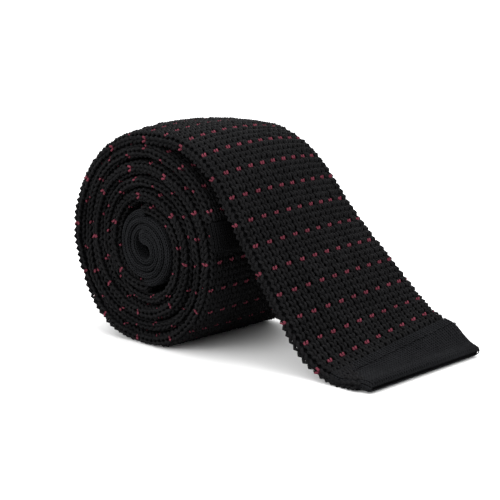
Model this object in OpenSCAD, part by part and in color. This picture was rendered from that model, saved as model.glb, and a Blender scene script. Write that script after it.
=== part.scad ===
// Knitted necktie, folded in half at the neck, rolled up from the fold and stood on its rim.
// +X is the way the free end of the wide blade runs, +Y is the roll's axis, +Z is up.
// The origin is on the surface it stands on, in the middle of its outline.
// All the knit tubes lie flat, so each one is a strip with rounded folds for its two long edges.

/* [Wide blade] */
// Width of the wide blade
blade_w = 55; // [50:0.5:58]
// Thickness of the wide blade, two coarse knit plies
blade_t = 4.8; // [4.6:0.1:4.8]

/* [Tail] */
// Width of the narrow tail
tail_w = 48; // [38:0.5:48]
// Thickness of the tail
tail_t = 3.4; // [3.2:0.1:3.4]

/* [Neck] */
// Width of the fine knit neck
neck_w = 40; // [30:0.5:44]
// Thickness of the fine knit neck
neck_t = 1.9; // [1.7:0.1:1.9]
// Width of the stay tape inside the neck
tape_w = 15; // [10:0.5:20]
// Thickness of the stay tape
tape_t = 0.5; // [0.4:0.05:0.6]

/* [Roll] */
// Outer radius of the roll on the side away from the free end
roll_r = 36; // [36:0.1:37]
// Growth of the roll's radius in one full turn
turn_pitch = 9.2; // [9.2:0.1:9.4]
// Growth of the core's radius in one full turn
core_pitch = 4.6; // [4.6:0.1:4.8]
// How much the roll's underside is pressed flat by its weight
sag = 0.7; // [0.5:0.1:0.9]

/* [Free blade] */
// Length of the level part over the top of the roll
crown_l = 10; // [8:0.5:12]
// Radius of the shoulder where the blade turns down
crown_r = 30; // [29:0.5:31]
// Angle of the free blade's slope below level
ramp_slope = 57; // [55:0.5:58]

/* [Square end] */
// Length of the plain fine knit band at the wide end
band_l = 12.5; // [12.5:0.5:16]
// Thickness of the band
band_t = 4.2; // [4:0.1:4.6]
// Length of the straight coarse knit behind the band
foot_l = 4; // [1.5:0.5:5]
// Radius of the free blade's bend above the surface
foot_bend_r = 20; // [18:1:24]
// Angle of the square end below level, as it leans on the edge of its hem
end_slope = 14; // [10:1:16]

/* [Hidden] */
$fn = 96;

blade_color = [0.06, 0.06, 0.07];
tail_color = [0.08, 0.08, 0.09];
neck_color = [0.12, 0.12, 0.13];
band_color = [0.1, 0.1, 0.11];
thread_color = [0.2, 0.2, 0.21];
tape_color = [0.16, 0.16, 0.17];

// Clear gap between faces of pieces that move against each other
move_gap = 0.3;
// Thickness of a turned-in hem facing, and of its pocket
facing_t = 1.4;
pocket_t = 1.6;
// Depth of a turned-in facing and thickness of the band's end fold
facing_l = 9;
end_fold = 1.6;
// Diameter of the hem thread, and size of a bar tack
thread_d = 0.7;
tack = [5, 1, 1];
seam_t = 1;

// Angles are in the XZ plane, from +X up to +Z; a full turn of the roll is 360.
ramp_start = 90 - ramp_slope;
tail_start = 8;
tail_hem_angle = 24;

// A half turn has an odd number on the left and an even one on the right. Their centres sit a
// quarter of a pitch above and below the roll's middle, so the halves join into one spiral.
roll_z = roll_r - turn_pitch / 4 - sag;
function half_sign(k) = k % 2 == 1 ? 1 : -1;
function half_z(k, pitch) = roll_z + half_sign(k) * pitch / 4;
function blade_r(k) = roll_r - blade_t / 2 + (1 - k) * turn_pitch / 2;
function tail_r(k) = blade_r(k) - turn_pitch / 2;
core_r = blade_r(5) - blade_t / 2 - (turn_pitch - core_pitch) / 4 - neck_t / 2 - 0.15;
function core_half_r(n) = core_r - n * core_pitch / 2;

// The free blade: level over the top of the roll, round the shoulder, down a straight slope, round
// a bend and down the tilted square end, whose lowest edge is on the surface
crown_top_z = half_z(0, turn_pitch) + blade_r(0);
crown_z = crown_top_z - crown_r;
slope_top = [crown_l + crown_r * cos(ramp_start), crown_z + crown_r * sin(ramp_start)];
end_l = foot_l + band_l;
bend_end_z = band_t / 2 * cos(end_slope) + end_l * sin(end_slope);
bend_z = bend_end_z + foot_bend_r * cos(end_slope);
slope_l = (slope_top[1] - bend_z + foot_bend_r * cos(ramp_slope)) / sin(ramp_slope);
bend_x = slope_top[0] + slope_l * cos(ramp_slope) + foot_bend_r * sin(ramp_slope);
bend_end_x = bend_x - foot_bend_r * sin(end_slope);
tip_x = bend_end_x + end_l * cos(end_slope) + band_t / 2 * sin(end_slope);

// Shift that puts the origin in the middle of the outline
mid_x = (tip_x - roll_r) / 2;

// Flattened tube in section: w along X, t along Y, with round folds at both ends
module strip_section(w, t) {
    square([w - t, t], center = true);
    for (side = [-1, 1]) translate([side * (w - t) / 2, 0]) circle(d = t);
}

// Piece of a strip wound about an axis along +Y at [x, z], from angle a0 to a1
module wound_strip(x, z, r, a0, a1, w, t) {
    translate([x, 0, z]) rotate([90, 0, 0]) rotate([0, 0, a0])
        rotate_extrude(angle = a1 - a0) translate([r, 0]) rotate(90) strip_section(w, t);
}

// The same for a plain rectangular tape or seam
module wound_tape(x, z, r, a0, a1, w, t) {
    translate([x, 0, z]) rotate([90, 0, 0]) rotate([0, 0, a0])
        rotate_extrude(angle = a1 - a0) translate([r, 0]) square([t, w], center = true);
}

// Straight piece of a strip from [x, z], rising at the angle rise
module straight_strip(x, z, rise, l, w, t) {
    translate([x, 0, z]) rotate([0, -rise, 0]) rotate([90, 0, 90])
        linear_extrude(l) strip_section(w, t);
}

// One half turn of each strip of the roll
module blade_half(k, a0, a1) {
    wound_strip(0, half_z(k, turn_pitch), blade_r(k), a0, a1, blade_w, blade_t);
}

module tail_half(k, a0, a1) {
    wound_strip(0, half_z(k, turn_pitch), tail_r(k), a0, a1, tail_w, tail_t);
}

module core_half(k, n, a0, a1) {
    wound_strip(0, half_z(k, core_pitch), core_half_r(n), a0, a1, neck_w, neck_t);
}

// Cuts off what the roll's weight presses flat at the bottom of the outer turn
module above_surface() {
    difference() {
        children();
        translate([-roll_r, -blade_w, -2 * sag]) cube([2 * roll_r, 2 * blade_w, 2 * sag]);
    }
}

module placed() {
    translate([-mid_x, 0, 0]) children();
}

// ---- Wide blade ----

// Where the wide blade passes over the top of the roll, up to the bend where its free end leaves
module blade_crown() {
    gap_angle = move_gap / crown_r * 180 / PI;
    color(blade_color) placed() {
        straight_strip(0, crown_top_z, 0, crown_l, blade_w, blade_t);
        wound_strip(crown_l, crown_z, crown_r, ramp_start + gap_angle, 90, blade_w, blade_t);
    }
}

module blade_turn_1_left() {
    color(blade_color) placed() above_surface() blade_half(1, 90, 270);
}

module blade_turn_1_right() {
    color(blade_color) placed() above_surface() blade_half(2, -90, 90);
}

module blade_turn_2_left() {
    color(blade_color) placed() blade_half(3, 90, 270);
}

module blade_turn_2_right() {
    color(blade_color) placed() blade_half(4, -90, 90);
}

module blade_turn_3_left() {
    color(blade_color) placed() blade_half(5, 90, 270 - seam_angle(blade_r(5)));
}

// Straight slope of the free blade
module blade_ramp() {
    color(blade_color) placed()
        straight_strip(slope_top[0], slope_top[1], -ramp_slope, slope_l, blade_w, blade_t);
}

// Bend of the free blade, below the slope
module blade_bend() {
    gap_angle = move_gap / foot_bend_r * 180 / PI;
    color(blade_color) placed()
        wound_strip(bend_x, bend_z, foot_bend_r,
            270 - ramp_slope, 270 - end_slope - gap_angle, blade_w, blade_t);
}

// Straight coarse knit behind the band
module blade_foot() {
    color(blade_color) square_end() straight_strip(0, 0, 0, foot_l, blade_w, blade_t);
}

// ---- Square wide end ----

// Tilts pieces drawn level along +X, so that they follow on from the bend
module square_end() {
    placed() translate([bend_end_x, 0, bend_end_z]) rotate([0, end_slope, 0]) children();
}

// Hollow band with its far end folded in
module hem_sleeve(l, w, t) {
    difference() {
        straight_strip(0, 0, 0, l, w, t);
        translate([l - end_fold - facing_l, -w / 2 + t / 2, -pocket_t / 2])
            cube([facing_l, w - t, pocket_t]);
    }
}

module wide_end() {
    square_end() translate([foot_l, 0, 0]) children();
}

module wide_hem_band() {
    color(band_color) wide_end() hem_sleeve(band_l, blade_w, band_t);
}

// Turned-in facing inside the band
module wide_hem_facing() {
    color(band_color) wide_end()
        translate([band_l - end_fold - facing_l, -blade_w / 2 + band_t, -facing_t / 2])
            cube([facing_l, blade_w - 2 * band_t, facing_t]);
}

// Hem thread along the top of the band
module wide_hem_stitching() {
    color(thread_color) wide_end()
        translate([band_l - end_fold - facing_l, 0, band_t / 2 + thread_d / 2])
            rotate([90, 0, 0]) cylinder(d = thread_d, h = blade_w - 2 * band_t, center = true);
}

// Bar tacks that close the band's two corners
module wide_corner_tacks() {
    color(thread_color) wide_end()
        for (side = [-1, 1])
            translate([band_l - tack[0] - 1, side * (blade_w / 2 - band_t) - tack[1] / 2,
                band_t / 2])
                cube(tack);
}

// ---- Tail ----

module tail_crown() {
    color(tail_color) placed() tail_half(0, tail_hem_angle, 90);
}

module tail_turn_1_left() {
    color(tail_color) placed() tail_half(1, 90, 270);
}

module tail_turn_1_right() {
    color(tail_color) placed() tail_half(2, -90, 90);
}

module tail_turn_2_left() {
    color(tail_color) placed() tail_half(3, 90, 270);
}

module tail_turn_2_right() {
    color(tail_color) placed() tail_half(4, -90, 90 - seam_angle(tail_r(4)));
}

// Band at the tail's square end, under the wide blade where it leaves the roll
module tail_hem_band() {
    z = half_z(0, turn_pitch);
    color(band_color) placed() difference() {
        wound_strip(0, z, tail_r(0), tail_start, tail_hem_angle, tail_w, tail_t);
        wound_tape(0, z, tail_r(0), tail_start + end_angle(), tail_hem_angle - end_angle(),
            tail_w - tail_t, pocket_t);
    }
}

module tail_hem_facing() {
    color(band_color) placed()
        wound_tape(0, half_z(0, turn_pitch), tail_r(0), tail_start + end_angle(),
            tail_hem_angle - end_angle(), tail_w - 2 * tail_t, facing_t);
}

// Hem thread along the outside of the tail's band
module tail_hem_stitching() {
    r = tail_r(0) + tail_t / 2 + thread_d / 2;
    color(thread_color) placed() translate([0, 0, half_z(0, turn_pitch)])
        rotate([0, -tail_hem_angle + end_angle(), 0]) translate([r, 0, 0])
            rotate([90, 0, 0]) cylinder(d = thread_d, h = tail_w - 2 * tail_t, center = true);
}

module tail_corner_tacks() {
    r = tail_r(0) + tail_t / 2;
    color(thread_color) placed() translate([0, 0, half_z(0, turn_pitch)])
        for (side = [-1, 1])
            rotate([0, -tail_start - 5, 0])
                translate([r + tack[2] / 2, side * (tail_w / 2 - tail_t), 0])
                    cube([tack[2], tack[1], tack[0]], center = true);
}

// ---- Neck, wound in the core ----

// Part of a turn taken up by a link seam on a strip of mean radius r
function seam_angle(r) = seam_t / r * 180 / PI;
function end_angle() = end_fold / tail_r(0) * 180 / PI;

// Linked seams where coarse knit changes to fine knit
module blade_neck_seam() {
    color(thread_color) placed()
        wound_tape(0, half_z(5, turn_pitch), blade_r(5), 270 - seam_angle(blade_r(5)), 270,
            neck_w, neck_t);
}

module tail_neck_seam() {
    color(thread_color) placed()
        wound_tape(0, half_z(4, turn_pitch), tail_r(4), 90 - seam_angle(tail_r(4)), 90,
            neck_w, neck_t);
}

module neck_blade_side() {
    color(neck_color) placed() {
        core_half(6, 0, -90, 90);
        core_half(7, 1, 90, 270);
        core_half(8, 2, -90, 90);
    }
}

module neck_tail_side() {
    color(neck_color) placed() {
        core_half(5, 0, 90, 270);
        core_half(6, 1, -90, 90);
        core_half(7, 2, 90, 270);
        core_half(8, 3, -90, 90);
    }
}

// Fold in the middle of the tie, at the centre of the roll
module neck_fold() {
    z = half_z(8, core_pitch) + (core_half_r(2) + core_half_r(3)) / 2;
    color(neck_color) placed() difference() {
        wound_strip(0, z, core_pitch / 4, 90, 270, neck_w, neck_t);
        fold_tape(z, tape_w + 1, tape_t + 0.1);
    }
}

module fold_tape(z, w, t) {
    wound_tape(0, z, core_pitch / 4, 90, 270, w, t);
}

// Woven tape that stops the neck from stretching
module stay_tape() {
    z = half_z(8, core_pitch) + (core_half_r(2) + core_half_r(3)) / 2;
    color(tape_color) placed() fold_tape(z, tape_w, tape_t);
}

// Bar tacks that hold the corners of the tape's two ends
module stay_tape_tacks() {
    z = half_z(8, core_pitch) + (core_half_r(2) + core_half_r(3)) / 2;
    color(thread_color) placed()
        for (side = [-1, 1], a = [90, 245])
            translate([0, side * (tape_w / 2 + 0.25), 0])
                wound_tape(0, z, core_pitch / 4, a, a + 25, 0.4, tape_t);
}

// ---- Keeper loop ----

keeper_a0 = 236;
keeper_a1 = 262;
keeper_w = 30;
keeper_t = 0.4;

// Mean radius of the strap, which lies flat on the back of the wide blade
function keeper_r() = blade_r(1) - blade_t / 2 - 0.03 - keeper_t / 2;

module keeper_loop() {
    color(tape_color) placed()
        wound_tape(0, half_z(1, turn_pitch), keeper_r(), keeper_a0, keeper_a1, keeper_w, keeper_t);
}

// Bar tacks that sew the strap's two ends to the blade
module keeper_tacks() {
    color(thread_color) placed()
        for (side = [-1, 1])
            translate([0, side * (keeper_w + tack[1]) / 2, 0])
                wound_tape(0, half_z(1, turn_pitch), keeper_r(), keeper_a0, keeper_a1,
                    tack[1], keeper_t);
}

blade_crown();
blade_turn_1_left();
blade_turn_1_right();
blade_turn_2_left();
blade_turn_2_right();
blade_turn_3_left();
blade_ramp();
blade_bend();
blade_foot();
wide_hem_band();
wide_hem_facing();
wide_hem_stitching();
wide_corner_tacks();
tail_crown();
tail_turn_1_left();
tail_turn_1_right();
tail_turn_2_left();
tail_turn_2_right();
tail_hem_band();
tail_hem_facing();
tail_hem_stitching();
tail_corner_tacks();
blade_neck_seam();
tail_neck_seam();
neck_blade_side();
neck_tail_side();
neck_fold();
stay_tape();
stay_tape_tacks();
keeper_loop();
keeper_tacks();
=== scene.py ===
"""Looks of a rolled knit necktie. Lengths inside the script are millimetres in the roll's own
frame (x = 0 on the roll's axis, z = 0 on the surface); SHIFT and MM take them to the row frame."""

import math

import bpy
import numpy as np
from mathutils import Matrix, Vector


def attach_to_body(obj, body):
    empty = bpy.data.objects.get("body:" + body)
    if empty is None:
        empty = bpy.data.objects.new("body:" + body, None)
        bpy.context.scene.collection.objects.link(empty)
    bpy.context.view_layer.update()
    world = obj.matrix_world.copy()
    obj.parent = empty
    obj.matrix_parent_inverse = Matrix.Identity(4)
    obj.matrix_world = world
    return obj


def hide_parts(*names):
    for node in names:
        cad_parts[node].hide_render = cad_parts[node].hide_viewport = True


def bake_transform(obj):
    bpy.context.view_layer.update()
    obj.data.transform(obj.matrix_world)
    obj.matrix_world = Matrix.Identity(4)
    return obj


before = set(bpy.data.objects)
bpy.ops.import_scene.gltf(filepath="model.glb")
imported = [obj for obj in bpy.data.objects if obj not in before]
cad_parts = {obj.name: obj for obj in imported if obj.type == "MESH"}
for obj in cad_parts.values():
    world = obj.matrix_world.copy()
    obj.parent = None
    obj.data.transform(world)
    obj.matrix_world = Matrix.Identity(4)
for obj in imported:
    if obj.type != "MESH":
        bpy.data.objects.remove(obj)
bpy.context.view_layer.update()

MM = 0.001

# ---- Sizes, the same as the CAD ones ----
ROLL_R = 36.0
PITCH = 9.2
CORE_PITCH = 4.6
SAG = 0.7
BLADE_T, TAIL_T, NECK_T, BAND_T = 4.8, 3.4, 1.9, 4.2
CROWN_L, CROWN_R, SLOPE = 10.0, 30.0, math.radians(57)
BEND_R, END_SLOPE = 20.0, math.radians(14)
BAND_L, FOOT_L = 12.5, 4.0
TIP_X = 90.04
SHIFT = (TIP_X - ROLL_R) / 2
ROLL_Z = ROLL_R - PITCH / 4 - SAG
BULGE = 1.6  # how far the roll's lower left side is pressed out
FLOOR_SOFT, FLOOR_LOW = 1.2, 0.15  # cloth below the first height spreads, down to the second


def half_z(k, pitch):
    return ROLL_Z + (pitch if k % 2 else -pitch) / 4


def blade_r(k):
    return ROLL_R - BLADE_T / 2 + (1 - k) * PITCH / 2


def tail_r(k):
    return blade_r(k) - PITCH / 2


CORE_R = blade_r(5) - BLADE_T / 2 - (PITCH - CORE_PITCH) / 4 - NECK_T / 2 - 0.15


# ---- Centre lines ----
class Path:
    """A centre line in the XZ plane. s is the length along it, n its normal on the outer side."""

    def __init__(self, start, heading, parts, step=0.25):
        # Each part is (length, turn): it turns by turn radians, anticlockwise, over its length
        x, z = start
        h = heading
        xs, zs, hs, ss = [x], [z], [h], [0.0]
        for length, turn in parts:
            n = max(2, int(length / step))
            d = length / n
            for _ in range(n):
                hm = h + turn / n / 2
                x, z = x + d * math.cos(hm), z + d * math.sin(hm)
                h += turn / n
                xs.append(x)
                zs.append(z)
                hs.append(h)
                ss.append(ss[-1] + d)
        self.s, self.x, self.z, self.h = map(np.array, (ss, xs, zs, hs))
        self.length = ss[-1]

    def at(self, s):
        x, z, h = (np.interp(s, self.s, a) for a in (self.x, self.z, self.h))
        inside = np.clip(s, 0, self.length)
        x = x + (s - inside) * np.cos(h)
        z = z + (s - inside) * np.sin(h)
        return x, z, np.cos(h), np.sin(h)


def half_turn(r):
    return (math.pi * r, math.pi)


# From the hem, up the slope, over the shoulder and round the roll, with the roll's axis on the left
END_L = FOOT_L + BAND_L
bez = BAND_T / 2 * math.cos(END_SLOPE) + END_L * math.sin(END_SLOPE)
tip = (TIP_X - BAND_T / 2 * math.sin(END_SLOPE), BAND_T / 2 * math.cos(END_SLOPE))
crown_top = half_z(0, PITCH) + blade_r(0)
slope_top = crown_top - CROWN_R * (1 - math.cos(SLOPE))
bend_top = bez + BEND_R * (math.cos(END_SLOPE) - math.cos(SLOPE))
SLOPE_L = (slope_top - bend_top) / math.sin(SLOPE)
BEND_L = BEND_R * (SLOPE - END_SLOPE)
SHOULDER_L = CROWN_R * SLOPE

blade = Path(
    tip,
    math.pi - END_SLOPE,
    [
        (END_L, 0),
        (BEND_L, -(SLOPE - END_SLOPE)),
        (SLOPE_L, 0),
        (SHOULDER_L, SLOPE),
        (CROWN_L, 0),
        half_turn(blade_r(1)),
        half_turn(blade_r(2)),
        half_turn(blade_r(3)),
        half_turn(blade_r(4)),
        half_turn(blade_r(5)),
    ],
)
S_FOOT = END_L
S_RAMP = S_FOOT + BEND_L
S_SHOULDER = S_RAMP + SLOPE_L
S_CROWN = S_SHOULDER + SHOULDER_L
S_ROLL = S_CROWN + CROWN_L

TAIL_A0 = math.radians(8)
tail_z0 = half_z(0, PITCH)
tail = Path(
    (tail_r(0) * math.cos(TAIL_A0), tail_z0 + tail_r(0) * math.sin(TAIL_A0)),
    TAIL_A0 + math.pi / 2,
    [
        (tail_r(0) * (math.pi / 2 - TAIL_A0), math.pi / 2 - TAIL_A0),
        half_turn(tail_r(1)),
        half_turn(tail_r(2)),
        half_turn(tail_r(3)),
        half_turn(tail_r(4)),
    ],
)


def core_r(n):
    return CORE_R - n * CORE_PITCH / 2


# The neck starts at the bottom on the blade's side, and at the top on the tail's side
neck_a = Path(
    (0, half_z(6, CORE_PITCH) - core_r(0)),
    0.0,
    [half_turn(core_r(0)), half_turn(core_r(1)), half_turn(core_r(2))],
)
neck_b = Path(
    (0, half_z(5, CORE_PITCH) + core_r(0)),
    math.pi,
    [half_turn(core_r(n)) for n in range(4)] + [(math.pi * CORE_PITCH / 4, -math.pi)],
)


def smooth(a, b, x):
    t = np.clip((x - a) / (b - a), 0, 1)
    return t * t * (3 - 2 * t)


def settle(x, z):
    """The roll's weight bulges its lower left side a little."""
    r = np.hypot(x, z - ROLL_Z)
    low_left = (x < 0) & (z < ROLL_Z)
    angle = np.arctan2(ROLL_Z - z, -x)
    k = np.where(low_left, BULGE * np.sin(2 * angle) ** 2 * np.minimum(r / ROLL_R, 1) ** 2, 0.0)
    k = k / np.maximum(r, 1e-6)
    return x * (1 + k), ROLL_Z + (z - ROLL_Z) * (1 + k)


# ---- Flattened tube round a centre line ----
class Tube:
    """w(s), t(s): width and thickness between the middles of the two plies. y(s): sideways
    drift. twist(s): roll about the centre line. lift(s) and bow(s, across): shift along the
    normal, the same across the strip or not. q is the height above the ply's middle."""

    def __init__(self, path, w, t, y=None, twist=None, lift=None, bow=None):
        self.path, self.w, self.t = path, w, t
        self.bow = bow or (lambda s, across: 0 * s)
        self.y = y or (lambda s: 0 * s)
        self.twist = twist or (lambda s: 0 * s)
        self.lift = lift or (lambda s: 0 * s)

    def place(self, p, s, q):
        """p from 0 to 1 goes once round the tube, from the middle of the outer face to +Y."""
        w, t = self.w(s), self.t(s)
        flat = w - t
        whole = 2 * flat + math.pi * t
        d = (p % 1.0) * whole
        a1 = flat / 2
        a2 = a1 + math.pi * t / 2
        a3 = a2 + flat
        a4 = a3 + math.pi * t / 2
        r = t / 2
        th1 = (d - a1) / np.maximum(r, 1e-6)
        th2 = (d - a3) / np.maximum(r, 1e-6)
        u = np.select(
            [d < a1, d < a2, d < a3, d < a4],
            [
                d,
                flat / 2 + (r + q) * np.sin(th1),
                flat / 2 - (d - a2),
                -flat / 2 - (r + q) * np.sin(th2),
            ],
            d - whole,
        )
        v = np.select(
            [d < a1, d < a2, d < a3, d < a4],
            [r + q, (r + q) * np.cos(th1), -(r + q), -(r + q) * np.cos(th2)],
            r + q,
        )
        c, sn = np.cos(self.twist(s)), np.sin(self.twist(s))
        u, v = u * c - v * sn, u * sn + v * c
        x, z, ch, sh = self.path.at(s)
        v = v + self.lift(s) + self.bow(s, 2 * u / w)
        # The normal points to the right of the heading, away from the roll's axis
        x, z = settle(x + v * sh, z - v * ch)
        # What would sink into the surface spreads on it instead
        reach = FLOOR_SOFT - FLOOR_LOW
        z = np.where(z < FLOOR_SOFT, FLOOR_LOW + reach * np.exp((z - FLOOR_SOFT) / reach), z)
        out = np.stack([x - SHIFT, u + self.y(s), z], axis=-1)
        return out * MM


def wobble(amp, lengths, seed):
    r = np.random.default_rng(seed)
    ph = r.uniform(0, 2 * math.pi, len(lengths))
    return lambda s: amp * sum(np.sin(2 * math.pi * s / L + f) for L, f in zip(lengths, ph))


# ---- Mesh helpers ----
def mesh_object(name, verts, faces, mats, index=None, smooth_faces=True):
    me = bpy.data.meshes.new(name)
    faces = np.asarray(faces, np.int32)
    me.vertices.add(len(verts))
    me.vertices.foreach_set("co", np.asarray(verts, np.float32).ravel())
    me.loops.add(faces.size)
    me.loops.foreach_set("vertex_index", faces.ravel())
    me.polygons.add(len(faces))
    me.polygons.foreach_set("loop_start", np.arange(len(faces), dtype=np.int32) * faces.shape[1])
    for m in mats:
        me.materials.append(m)
    if index is not None:
        me.polygons.foreach_set("material_index", np.asarray(index, np.int32))
    me.update(calc_edges=True)
    me.validate()
    if smooth_faces:
        me.polygons.foreach_set("use_smooth", np.ones(len(me.polygons), bool))
    ob = bpy.data.objects.new(name, me)
    bpy.context.collection.objects.link(ob)
    return ob


def grid_faces(n_rows, n_cols, wrap):
    i = np.arange(n_rows - 1)[:, None]
    j = np.arange(n_cols if wrap else n_cols - 1)[None, :]
    k = (j + 1) % n_cols
    a = i * n_cols + j
    b = i * n_cols + k
    return np.stack([a, a + n_cols, b + n_cols, b], axis=-1).reshape(-1, 4)


def base_tube(name, tube, s0, s1, mats, step=1.0, sides=80, inset=0.0):
    """The cloth under the yarn: a closed flattened tube from s0 to s1."""
    n = max(3, int((s1 - s0) / step) + 1)
    s = np.linspace(s0, s1, n)
    p = np.arange(sides) / sides
    S, P = np.meshgrid(s, p, indexing="ij")
    v = tube.place(P, S, -inset + 0 * P).reshape(-1, 3)
    faces = grid_faces(n, sides, True)
    # Flat caps at both ends, as strips of quads across the tube
    caps = []
    for row, flip in ((0, False), (n - 1, True)):
        o = row * sides
        for j in range(sides // 2 - 1):
            q = [o + j, o + j + 1, o + sides - 2 - j, o + sides - 1 - j]
            caps.append(q[::-1] if flip else q)
    faces = np.concatenate([faces, np.array(caps)])
    return mesh_object(name, v, faces, mats)


class Knit:
    """Rows of yarn loops round a tube, whose V points to smaller s. wales: loops in one round.
    course: spacing of the rows. depth, height: how far a loop swings off the ply and along s.
    waist, pinch: how its legs lean in. skew: slant of the rows. rough: unevenness of the loops.
    scallop: how far the folds dip between rows."""

    def __init__(self, wales, course, yarn, depth, height, waist=0.2, sides=6, steps=12,
                 skew=0, rough=0.16, pinch=0.0, scallop=0.0):
        self.wales, self.course, self.yarn, self.depth = wales, course, yarn, depth
        self.height, self.waist, self.sides, self.steps = height, waist, sides, steps
        self.skew, self.rough, self.pinch, self.scallop = skew, rough, pinch, scallop


def runs_of(mask):
    """Neighbouring kept loops, as (first loop, number of loops), going round the tube."""
    count = len(mask)
    if mask.all():
        return [(0, count)]
    runs, run = [], []
    for w in (np.arange(count) + int(np.argmin(mask))) % count:
        if mask[w]:
            run.append(w)
        elif run:
            runs.append((run[0], len(run)))
            run = []
    if run:
        runs.append((run[0], len(run)))
    return runs


def unit(v):
    return v / (np.linalg.norm(v, axis=1, keepdims=True) + 1e-12)


def rings(mid, up, side, radius, sides):
    """Points of a round yarn along mid, from two directions across it."""
    a = np.arange(sides) / sides * 2 * math.pi
    ring = np.cos(a)[None, :, None] * up[:, None] + np.sin(a)[None, :, None] * side[:, None]
    return (mid[:, None] + radius * ring).reshape(-1, 3)


# Unevenness of a loop's height, its place in the row and its yarn's thickness
UNEVEN_HEIGHT, UNEVEN_PLACE, UNEVEN_YARN = 0.05, 0.05, 0.06
# The dots' yarn is finer and sits a little deeper than the black
DOT_THINNER, DOT_DEEPER = 0.42, 0.24
FOLD_REACH = 0.04  # how far the scallops reach from a fold, in rounds
# Parts of a loop, from its head at 0 to its feet at 0.5, that show in the dot's red and in a darker
# copy of it that paints shade on the dot
DOT_BRIGHT, DOT_PAINTED_SHADE = (0.26, 0.34), (0.34, 0.42)


def loop_yarn(tube, knit, c, w0, ids, jit, dots):
    """One length of yarn: the loops ids of course c, from loop w0 on."""
    m = knit.steps
    k = np.arange(len(ids) * m + 1)
    t = k / m * 2 * math.pi
    each = ids[np.minimum(k // m, len(ids) - 1)]
    wob = jit[each]
    fade = np.sin(t / 2) ** 2
    x = t / (2 * math.pi) + knit.waist * np.sin(2 * t) + knit.pinch * np.sin(t)
    y = -knit.height * np.cos(t) * (1 + UNEVEN_HEIGHT * wob[:, 0] * fade)
    z = -knit.depth * np.cos(2 * t) + knit.rough * wob[:, 1] * fade
    p = (w0 + x - 0.5 + UNEVEN_PLACE * wob[:, 2] * fade) / knit.wales
    dot = np.zeros(len(k)) if dots is None else dots(c, each) * np.abs(np.sin(t / 2))
    thin = 1 - DOT_THINNER * dot + UNEVEN_YARN * wob[:, 0] * fade
    z = z - DOT_DEEPER * dot
    # At the two folds each course stands out from the next
    fold = np.minimum(np.abs(p % 1 - 0.25), np.abs(p % 1 - 0.75))
    dip = np.exp(-((fold / FOLD_REACH) ** 2)) * (1 - np.abs(np.cos(math.pi * y / knit.course)))
    z = z - knit.scallop * dip
    s = c * knit.course + y + 0.5 * knit.course
    if knit.skew:
        s = s + knit.skew * 1000 * (tube.place(p, s, z)[:, 1] - tube.y(s) * MM)
    mid = tube.place(p, s, z)
    up = unit(tube.place(p, s, z + 0.5) - mid)
    radius = knit.yarn / 2 * MM * (thin * (0.93 + 0.07 * np.cos(2 * t + 1)))[:, None, None]
    along = unit(np.gradient(mid, axis=0))
    side = unit(np.cross(along, up))
    return rings(mid, np.cross(side, along), side, radius, knit.sides)


def loop_colours(knit, c, ids, dots):
    """The material of each step of the yarn: only the legs of a marked loop are red, their lower ends
    in a darker red of painted shade.
    """
    row = np.repeat(ids, knit.steps)
    if dots is None:
        return np.zeros(len(row), int)
    legs = np.abs((np.arange(len(row)) % knit.steps + 0.5) / knit.steps - 0.5)
    marked = dots(c, row)
    bright = marked & (legs > DOT_BRIGHT[0]) & (legs < DOT_BRIGHT[1])
    shade = marked & (legs > DOT_PAINTED_SHADE[0]) & (legs < DOT_PAINTED_SHADE[1])
    return bright.astype(int) + 2 * shade.astype(int)


def knit_rows(name, tube, knit, s0, s1, mats, keep=None, dots=None, max_faces=95000, seed=1):
    """Yarn for the courses from s0 to s1. keep(wale fraction, s) picks the part of the round
    that shows. dots(course, wale) marks stitches with red legs. Returns its objects."""
    r = np.random.default_rng(seed)
    first, last = int(math.ceil(s0 / knit.course)), int(math.ceil(s1 / knit.course))
    wales = np.arange(knit.wales)
    obs, verts, faces, index, count = [], [], [], [], 0

    def flush():
        nonlocal verts, faces, index, count
        if faces:
            piece = f"{name}_{len(obs) + 1}"
            v, f, i = (np.concatenate(part) for part in (verts, faces, index))
            obs.append(mesh_object(piece, v, f, mats, i))
        verts, faces, index, count = [], [], [], 0

    for c in range(first, last):
        mask = np.ones(knit.wales, bool) if keep is None else keep(wales / knit.wales, c * knit.course)
        jit = r.normal(0, 1, (knit.wales, 3))
        for w0, n_loops in runs_of(mask):
            ids = (w0 + np.arange(n_loops)) % knit.wales
            v = loop_yarn(tube, knit, c, w0, ids, jit, dots)
            verts.append(v)
            faces.append(grid_faces(len(v) // knit.sides, knit.sides, True) + count)
            index.append(np.repeat(loop_colours(knit, c, ids, dots), knit.sides))
            count += len(v)
        if sum(len(f) for f in faces) > max_faces:
            flush()
    flush()
    return obs


# ---- Materials ----
def node(nt, kind, at=(0, 0), **values):
    n = nt.nodes.new(kind)
    n.location = at
    for key, value in values.items():
        if key in n.inputs:
            n.inputs[key].default_value = value
        else:
            setattr(n, key, value)
    return n


SPECULAR = 0.03


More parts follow.
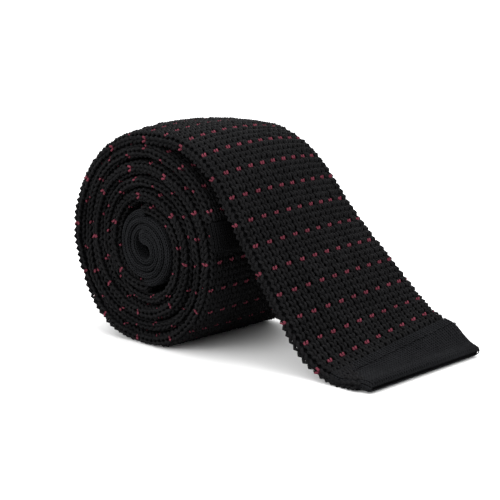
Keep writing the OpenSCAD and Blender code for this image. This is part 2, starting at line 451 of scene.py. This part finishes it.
def yarn_material(name, dark, light, rough, fuzz, bump, ply):
    """Spun yarn: fibre in two tones with a fine bump. fuzz: the bump's height in metres, bump:
    its strength, ply: how fine the fibre's pattern is."""
    m = bpy.data.materials.new(name)
    m.use_nodes = True
    nt = m.node_tree
    nt.nodes.clear()
    out = node(nt, "ShaderNodeOutputMaterial", (900, 0))
    b = node(nt, "ShaderNodeBsdfPrincipled", (600, 0))
    b.inputs["Roughness"].default_value = rough
    b.inputs["Specular IOR Level"].default_value = SPECULAR
    tc = node(nt, "ShaderNodeTexCoord", (-900, 0))
    fine = node(nt, "ShaderNodeTexNoise", (-600, 200), Scale=ply, Detail=3.0, Roughness=0.6)
    wide = node(nt, "ShaderNodeTexNoise", (-600, -100), Scale=90.0, Detail=2.0, Roughness=0.5)
    ramp = node(nt, "ShaderNodeValToRGB", (-200, 200))
    ramp.color_ramp.elements[0].position, ramp.color_ramp.elements[1].position = 0.32, 0.72
    ramp.color_ramp.elements[0].color = (*dark, 1)
    ramp.color_ramp.elements[1].color = (*light, 1)
    mix = node(nt, "ShaderNodeMath", (-400, 100), operation="MULTIPLY_ADD")
    mix.inputs[1].default_value = 0.75
    half = node(nt, "ShaderNodeMath", (-400, -100), operation="MULTIPLY")
    half.inputs[1].default_value = 0.25
    bmp = node(nt, "ShaderNodeBump", (300, -200), Strength=bump, Distance=fuzz)
    links = nt.links.new
    links(tc.outputs["Object"], fine.inputs["Vector"])
    links(tc.outputs["Object"], wide.inputs["Vector"])
    links(wide.outputs["Fac"], half.inputs[0])
    links(fine.outputs["Fac"], mix.inputs[0])
    links(half.outputs[0], mix.inputs[2])
    links(mix.outputs[0], ramp.inputs["Fac"])
    links(ramp.outputs["Color"], b.inputs["Base Color"])
    links(fine.outputs["Fac"], bmp.inputs["Height"])
    links(bmp.outputs["Normal"], b.inputs["Normal"])
    links(b.outputs["BSDF"], out.inputs["Surface"])
    return m


black_yarn = yarn_material(
    "black_yarn", (0.0008, 0.0008, 0.0009), (0.0081, 0.0079, 0.0085), 0.7, 0.00022, 1.0, 1700
)
fine_yarn = yarn_material(
    "fine_black_yarn", (0.0022, 0.0023, 0.0027), (0.0117, 0.0120, 0.0132), 0.8, 0.00008, 0.6, 2600
)
red_yarn = yarn_material(
    "red_yarn", (0.038, 0.008, 0.012), (0.128, 0.026, 0.040), 0.75, 0.00012, 0.6, 1900
)
# Painted shade: a darker copy of the red for the lower ends of the red legs, half hidden between the
# black loops
red_painted_shade = yarn_material(
    "red_yarn_painted_shade", (0.006, 0.0015, 0.0025), (0.025, 0.0055, 0.009), 0.75, 0.00012, 0.6, 1900
)
# The tail's plain hem, in painted shade: darker than the fine black yarn, for the dark gap it lies in
tail_hem = yarn_material(
    "tail_hem_painted_shade_yarn", (0.0007, 0.0007, 0.0008), (0.0040, 0.0040, 0.0045), 0.8, 0.00008, 0.6, 2600
)
# Painted shade: the ground seen between the loops, darker than the black yarn, standing for the shade
# in the gaps
cloth = yarn_material(
    "knit_ground_painted_shade", (0.0004, 0.0004, 0.0005), (0.0020, 0.0020, 0.0023), 0.9, 0.0001, 0.6, 1500
)
thread = yarn_material(
    "black_thread", (0.0013, 0.0013, 0.0017), (0.0073, 0.0073, 0.0083), 0.6, 0.00005, 0.5, 3500
)

# ---- The wide blade's tube ----
PLY = 2.3  # thickness of one ply of coarse loops
FLARE_W, SHOULDER_W, ROLL_W = 59.5, 51.5, 54.5
DRIFT = 9.2
TWIST = math.radians(7.4)
EDGE_DROOP, CROWN_RISE, SLOPE_BULGE = 2.4, 2.4, 1.6


def blade_w(s):
    # Wide at the foot, narrow over the shoulder, full again in the roll
    up = smooth(S_RAMP + 4, S_CROWN, s)
    w = FLARE_W * (1 - up) + SHOULDER_W * up
    w = w + (ROLL_W - SHOULDER_W) * smooth(S_CROWN, S_ROLL + 60, s)
    return w - PLY


def blade_t(s):
    return BLADE_T - PLY + 0 * s


blade_wobble = wobble(0.22, (31, 47, 83), 3)


def blade_y(s):
    # The free blade drifts to +Y on its way down
    down = 1 - smooth(S_FOOT + 2, S_CROWN + 6, s)
    return DRIFT * down + blade_wobble(s) * smooth(S_CROWN, S_ROLL + 20, s)


def blade_twist(s):
    # The near edge lies flat behind the hem while the far one stays up
    return TWIST * smooth(0, 12, s) * (1 - smooth(15, S_SHOULDER - 8, s))


def blade_lift(s):
    # The lower slope bulges up a little
    return SLOPE_BULGE * smooth(15, 31, s) * (1 - smooth(34, 66, s))


def blade_bow(s, across):
    # Its edges droop on the slope, and its middle rises over the top of the roll
    over = 1 - smooth(S_ROLL + 20, S_ROLL + 90, s)
    droop = EDGE_DROOP * smooth(16, 44, s) * over
    rise = CROWN_RISE * smooth(S_SHOULDER - 4, S_CROWN + 6, s) * over
    return rise - droop * np.minimum(across**2, 1.1)


blade_tube = Tube(blade, blade_w, blade_t, blade_y, blade_twist, blade_lift, blade_bow)


def dot_rows(offset):
    """Every second wale on every fourth course, each row half a step on from the last."""

    def dots(c, w):
        row = c - offset
        return (np.asarray(w) % 2 == (row // 4) % 2) & (row % 4 == 0)

    return dots


coarse = Knit(wales=40, course=2.11, skew=0.035, yarn=1.24, depth=0.72, height=1.45, waist=0.19,
              pinch=0.03, scallop=0.42)
FOLD_SHARE = 0.085  # inside the roll only the loops this near a fold are made, in rounds
BAND_LAP = 0.4  # the coarse knit starts this far above the band
CLOTH_INSET = 0.25


def outer_point(s, v):
    """The point v outside the blade's centre line at s, in the row frame's metres."""
    x, z, ch, sh = (float(a) for a in blade.at(np.array(s)))
    return ((x + v * sh - SHIFT) * MM, 0.0, (z - v * ch) * MM)


def edges_only(share):
    """Loops within share of the round either side of the two folds."""

    def keep(fr, s):
        near = np.minimum(np.abs(fr - 0.25), np.abs(fr - 0.75))
        return near < share

    return keep


def near_corner(fr, s):
    """The coarse knit's near edge runs on beside the band, narrower towards the hem."""
    return np.abs(fr - 0.75) < 0.045 + 0.03 * smooth(6, 12, s)


# Where the cloth bends at each joint: the two bodies, and where the bend starts and ends
BEND_HALF = 9.0
LIFT = ("roll", "free_blade", outer_point(S_SHOULDER + BEND_HALF, 2.4),
        outer_point(S_SHOULDER - BEND_HALF, 2.4))
END = ("free_blade", "square_end", outer_point(S_FOOT + 7, 2.0), outer_point(S_FOOT - 3, 2.0))
S_SPLIT = S_RAMP + 0.45 * SLOPE_L  # the slope's knit is two pieces, one for each bend

knit_mats = [black_yarn, red_yarn, red_painted_shade]
blade_dots = dot_rows(1)


def attach(obs, body=None, blend=None):
    """Pieces ride one body, or, given blend, have their placement baked into their meshes."""
    for o in obs:
        if blend:
            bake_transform(o)
        else:
            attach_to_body(o, body)


end_part = knit_rows("blade_end_yarn", blade_tube, coarse, BAND_L + BAND_LAP, S_SPLIT, knit_mats,
                     dots=blade_dots, seed=11)
end_part += knit_rows("blade_corner_yarn", blade_tube, coarse, 2.2, BAND_L + BAND_LAP,
                      knit_mats, keep=near_corner, seed=15)
attach(end_part, blend=END)
top_part = knit_rows("blade_slope_yarn", blade_tube, coarse, S_SPLIT, S_ROLL, knit_mats,
                     dots=blade_dots, seed=12)
attach(top_part, blend=LIFT)
OUTER_END = S_ROLL + math.pi * (blade_r(1) + blade_r(2))
turn_part = knit_rows("blade_outer_yarn", blade_tube, coarse, S_ROLL, OUTER_END, knit_mats,
                      dots=blade_dots, seed=13)
attach(turn_part, "roll")
inner_part = knit_rows("blade_inner_yarn", blade_tube, coarse, OUTER_END, blade.length - 0.5,
                       knit_mats, keep=edges_only(FOLD_SHARE), dots=blade_dots, seed=14)
attach(inner_part, "roll")

# The cloth under the loops takes the dark ground, which paints the shade between them
end_cloth = base_tube("blade_end_cloth", blade_tube, BAND_L - 0.5, S_SPLIT, [cloth],
                      inset=CLOTH_INSET)
top_cloth = base_tube("blade_slope_cloth", blade_tube, S_SPLIT, S_ROLL, [cloth],
                      inset=CLOTH_INSET)
roll_cloth = base_tube("blade_roll_cloth", blade_tube, S_ROLL, blade.length, [cloth],
                       inset=CLOTH_INSET)
attach([end_cloth], blend=END)
attach([top_cloth], blend=LIFT)
attach([roll_cloth], "roll")

# ---- Fine knit band at the square end ----
fine = Knit(wales=104, course=0.95, yarn=0.44, depth=0.30, height=0.78, waist=0.15, sides=5,
            steps=10, rough=0.03, pinch=0.07)
FINE_PLY = 1.0
HEM_R = 1.6
HEM_S = -1.3  # the hem's soft edge reaches a little past the CAD band's
HEM_W, HEM_FLARE = 56.9, 1.6
HEM_OPEN = 1.8  # the two plies stay this far apart at the edge, with a dark line between them


def hem_round(s, s_end):
    """From 0 at the hem's edge to 1 where its rounding ends."""
    return np.sqrt(np.clip(1 - (1 - np.clip((s - s_end) / HEM_R, 0, 1)) ** 2, 0.0, 1))


def band_w(s):
    return HEM_W + HEM_FLARE * smooth(4, BAND_L, s) - FINE_PLY


def band_t(s):
    # Thin in the middle, with a fuller roll along the hem's fold
    full = 0.86 + 0.14 * smooth(6, 12, s) + 0.2 * (1 - smooth(0.4, 3.2, s))
    return np.maximum((BAND_T - FINE_PLY) * full * hem_round(s, HEM_S), HEM_OPEN)


band_tube = Tube(blade, band_w, band_t, blade_y, blade_twist, blade_lift, blade_bow)
band_yarn = knit_rows("band_yarn", band_tube, fine, HEM_S + 0.2, BAND_L + 1.2, [fine_yarn],
                      seed=21)
attach(band_yarn, blend=END)
band_cloth = base_tube("band_cloth", band_tube, HEM_S + 0.6, BAND_L + 0.8, [cloth], step=0.4,
                       inset=0.1)
attach([band_cloth], blend=END)

# ---- Tail ----
TAIL_PLY = 1.8
TAIL_W, TAIL_HEM_W = 50.0, 49.5
TAIL_SHIFT = -1.3  # towards the near face, where its edge is nearly flush


def tail_w(s):
    return TAIL_W - TAIL_PLY + 0 * s


def tail_hem_w(s):
    return TAIL_HEM_W - FINE_PLY + 0 * s


def tail_fill(s):
    """Where the outer turn rises off the roll, the tail's outer turn follows it."""
    return smooth(14, 48, s) * (1 - smooth(70, 135, s))


def tail_t(s):
    return TAIL_T + 0.5 - TAIL_PLY + 0.9 * tail_fill(s)


def tail_lift(s):
    return 0.8 * tail_fill(s)


tail_wobble = wobble(0.3, (37, 59, 97), 5)


def tail_y(s):
    return TAIL_SHIFT + tail_wobble(s)


tail_tube = Tube(tail, tail_w, tail_t, tail_y, lift=tail_lift)
narrow = Knit(wales=38, course=2.15, yarn=1.12, depth=0.45, height=1.48, waist=0.19)
S_TAIL_BAND = tail_r(0) * math.radians(16)
tail_yarn = knit_rows("tail_yarn", tail_tube, narrow, S_TAIL_BAND, tail.length - 0.5, knit_mats,
                      keep=edges_only(FOLD_SHARE), dots=dot_rows(2), seed=31)
attach(tail_yarn, "roll")
tail_cloth = base_tube("tail_cloth", tail_tube, S_TAIL_BAND, tail.length, [cloth], inset=0.2)
attach([tail_cloth], "roll")


def tail_hem_t(s):
    return np.maximum((TAIL_T - FINE_PLY) * hem_round(s, 0), 0.15)


tail_band_tube = Tube(tail, tail_hem_w, tail_hem_t, tail_y)
# The tail's hem yarn is the darker copy that carries painted shade
tail_band_yarn = knit_rows("tail_band_yarn", tail_band_tube, fine, 0.2, S_TAIL_BAND, [tail_hem],
                           seed=32)
attach(tail_band_yarn, "roll")
tail_band_cloth = base_tube("tail_band_cloth", tail_band_tube, 0.12, S_TAIL_BAND, [cloth],
                            step=0.4, inset=0.1)
attach([tail_band_cloth], "roll")

# ---- Neck, wound in the core ----
NECK_W = 50.0
NECK_SHIFT = -1.6
NECK_WAVE, NECK_WAVE_L = 0.35, 9.0


def neck_y(s):
    return NECK_SHIFT + NECK_WAVE * np.sin(s / NECK_WAVE_L)


def neck_tube(path):
    def width(s):
        return NECK_W - FINE_PLY + 0 * s

    def thickness(s):
        # Fuller where it leaves the coarse knit, and at the fold in the middle of the core
        start = 0.7 * (1 - smooth(0, 45, s))
        fold = 1.6 * smooth(path.length - 15, path.length - 3, s)
        return NECK_T + 0.25 - FINE_PLY + start + fold

    return Tube(path, width, thickness, neck_y)


neck_knit = Knit(wales=88, course=0.98, yarn=0.56, depth=0.26, height=0.76, sides=5, steps=10,
                 rough=0.05)
neck_cloths, neck_yarns = [], []
for label, path, seed in (("neck_blade_side", neck_a, 41), ("neck_tail_side", neck_b, 42)):
    tube = neck_tube(path)
    yarn = knit_rows(f"{label}_yarn", tube, neck_knit, 0, path.length, [fine_yarn],
                     keep=edges_only(0.055), seed=seed)
    attach(yarn, "roll")
    ground = base_tube(f"{label}_cloth", tube, 0, path.length, [cloth], step=0.5, inset=0.1)
    attach([ground], "roll")
    neck_cloths.append(ground)
    neck_yarns.append(yarn)


# ---- Hem stitching: a row of short thread stitches round both faces of the band ----
STITCHES, THREAD_D, STITCH_RISE = 56, 0.42, 0.28
STITCH_S = BAND_L - 1.9
STITCH_FROM, STITCH_TO = 0.22, 0.78  # the part of each step that its stitch covers
THREAD_SIDES, THREAD_STEPS = 6, 6


def stitch_row(name, tube, mats):
    verts, faces = [], []
    for i in range(STITCHES):
        k = np.linspace(0, 1, THREAD_STEPS)
        p = (i + STITCH_FROM + (STITCH_TO - STITCH_FROM) * k) / STITCHES
        q = FINE_PLY / 2 - 0.1 + STITCH_RISE * np.sin(math.pi * k)
        mid = tube.place(p, STITCH_S + 0.12 * np.sin(i * 2.3) + 0 * k, q)
        up = unit(tube.place(p, STITCH_S + 0 * k, q + 0.5) - mid)
        side = np.cross(unit(np.gradient(mid, axis=0)), up)
        ring = rings(mid, up, side, THREAD_D / 2 * MM, THREAD_SIDES)
        faces.append(grid_faces(THREAD_STEPS, THREAD_SIDES, True) + len(verts) * len(ring))
        verts.append(ring)
    return mesh_object(name, np.concatenate(verts), np.concatenate(faces), mats)


hem_thread = stitch_row("hem_stitching", band_tube, [thread])
attach([hem_thread], blend=END)

# ---- The keeper stays as in the CAD, and the cloth stands for the other nodes ----
# The keeper loop takes the dark ground with its painted shade, its tacks the thread
for name, mat in (("keeper_loop", cloth), ("keeper_tacks", thread)):
    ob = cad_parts[name]
    ob.data.materials.clear()
    ob.data.materials.append(mat)
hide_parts("blade_crown", "blade_turn_1_left", "blade_turn_1_right",
            "blade_turn_2_left", "blade_turn_2_right", "blade_turn_3_left", "blade_neck_seam")
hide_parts("blade_ramp", "blade_bend", "blade_foot")
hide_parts("wide_hem_band", "wide_hem_facing", "wide_corner_tacks")
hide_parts("wide_hem_stitching")
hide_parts("tail_crown", "tail_turn_1_left", "tail_turn_1_right",
            "tail_turn_2_left", "tail_turn_2_right", "tail_neck_seam")
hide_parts("tail_hem_band", "tail_hem_facing", "tail_hem_stitching",
            "tail_corner_tacks")
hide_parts("neck_blade_side")
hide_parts("neck_tail_side", "neck_fold", "stay_tape", "stay_tape_tacks")


# ---- Floor, light and camera ----
def floor_material():
    """Plain, and lit until it's white, so that only the deep part of the shadow shows."""
    m = bpy.data.materials.new("floor_white")
    m.use_nodes = True
    b = m.node_tree.nodes["Principled BSDF"]
    b.inputs["Base Color"].default_value = (0.6, 0.6, 0.6, 1)
    b.inputs["Roughness"].default_value = 0.9
    b.inputs["Specular IOR Level"].default_value = 0.045
    return m


FLOOR = 4.0  # half its side, in metres
floor = mesh_object(
    "floor",
    [(-FLOOR, -FLOOR, 0), (FLOOR, -FLOOR, 0), (FLOOR, FLOOR, 0), (-FLOOR, FLOOR, 0)],
    [[0, 1, 2, 3]],
    [floor_material()],
    smooth_faces=False,
)


def studio_world():
    """White to the camera. Its light comes more from above than from the sides."""
    world = bpy.data.worlds.new("studio")
    world.use_nodes = True
    nt = world.node_tree
    background = nt.nodes["Background"]
    background.inputs["Color"].default_value = (1, 1, 1, 1)
    place = node(nt, "ShaderNodeTexCoord")
    split = node(nt, "ShaderNodeSeparateXYZ")
    graded = node(nt, "ShaderNodeMapRange")
    for socket, value in (("From Min", 0.0), ("From Max", 0.7), ("To Min", 0.2), ("To Max", 2.5)):
        graded.inputs[socket].default_value = value
    ray = node(nt, "ShaderNodeLightPath")
    strength = node(nt, "ShaderNodeMath", operation="MULTIPLY_ADD")
    strength.inputs[1].default_value = 1.2
    nt.links.new(place.outputs["Generated"], split.inputs[0])
    nt.links.new(split.outputs["Z"], graded.inputs["Value"])
    nt.links.new(ray.outputs["Is Camera Ray"], strength.inputs[0])
    nt.links.new(graded.outputs["Result"], strength.inputs[2])
    nt.links.new(strength.outputs[0], background.inputs["Strength"])
    return world


bpy.context.scene.world = studio_world()


def lamp(name, at, aim, size, power):
    data = bpy.data.lights.new(name, "AREA")
    data.shape, data.size, data.energy = "SQUARE", size, power
    ob = bpy.data.objects.new(name, data)
    ob.location = at
    ob.rotation_euler = (Vector(aim) - Vector(at)).to_track_quat("-Z", "Y").to_euler()
    bpy.context.collection.objects.link(ob)


lamp("top_light", (0.05, 0.1, 0.9), (0, 0, 0.03), 0.5, 3)
lamp("key_light", (0.75, 0.05, 0.55), (0, 0, 0.03), 0.5, 4.5)
lamp("back_light", (-0.3, 0.8, 0.5), (0, 0, 0.04), 0.6, 4)
lamp("front_light", (-0.15, -0.85, 0.35), (0, 0, 0.03), 0.6, 8)

bpy.context.scene.view_settings.view_transform = "Standard"

cam = bpy.data.cameras.new("camera")
cam_ob = bpy.data.objects.new("camera", cam)
bpy.context.collection.objects.link(cam_ob)
bpy.context.scene.camera = cam_ob
# Recovered from the photo: the way it looks, its distance in metres and the point it aims at
AZ, EL, DIST = math.radians(42.5), math.radians(11.5), 0.453
CAM_TARGET = Vector(((40.4 - SHIFT) * MM, -0.0013, 0.035))
back = Vector((math.sin(AZ) * math.cos(EL), -math.cos(AZ) * math.cos(EL), math.sin(EL)))
cam_ob.location = CAM_TARGET + back * DIST
cam_ob.rotation_euler = (-back).to_track_quat("-Z", "Y").to_euler()
cam.sensor_width = 36.0
cam.lens = 100.8
cam.shift_x = -0.07
cam.shift_y = -0.005
cam.clip_start = 0.01
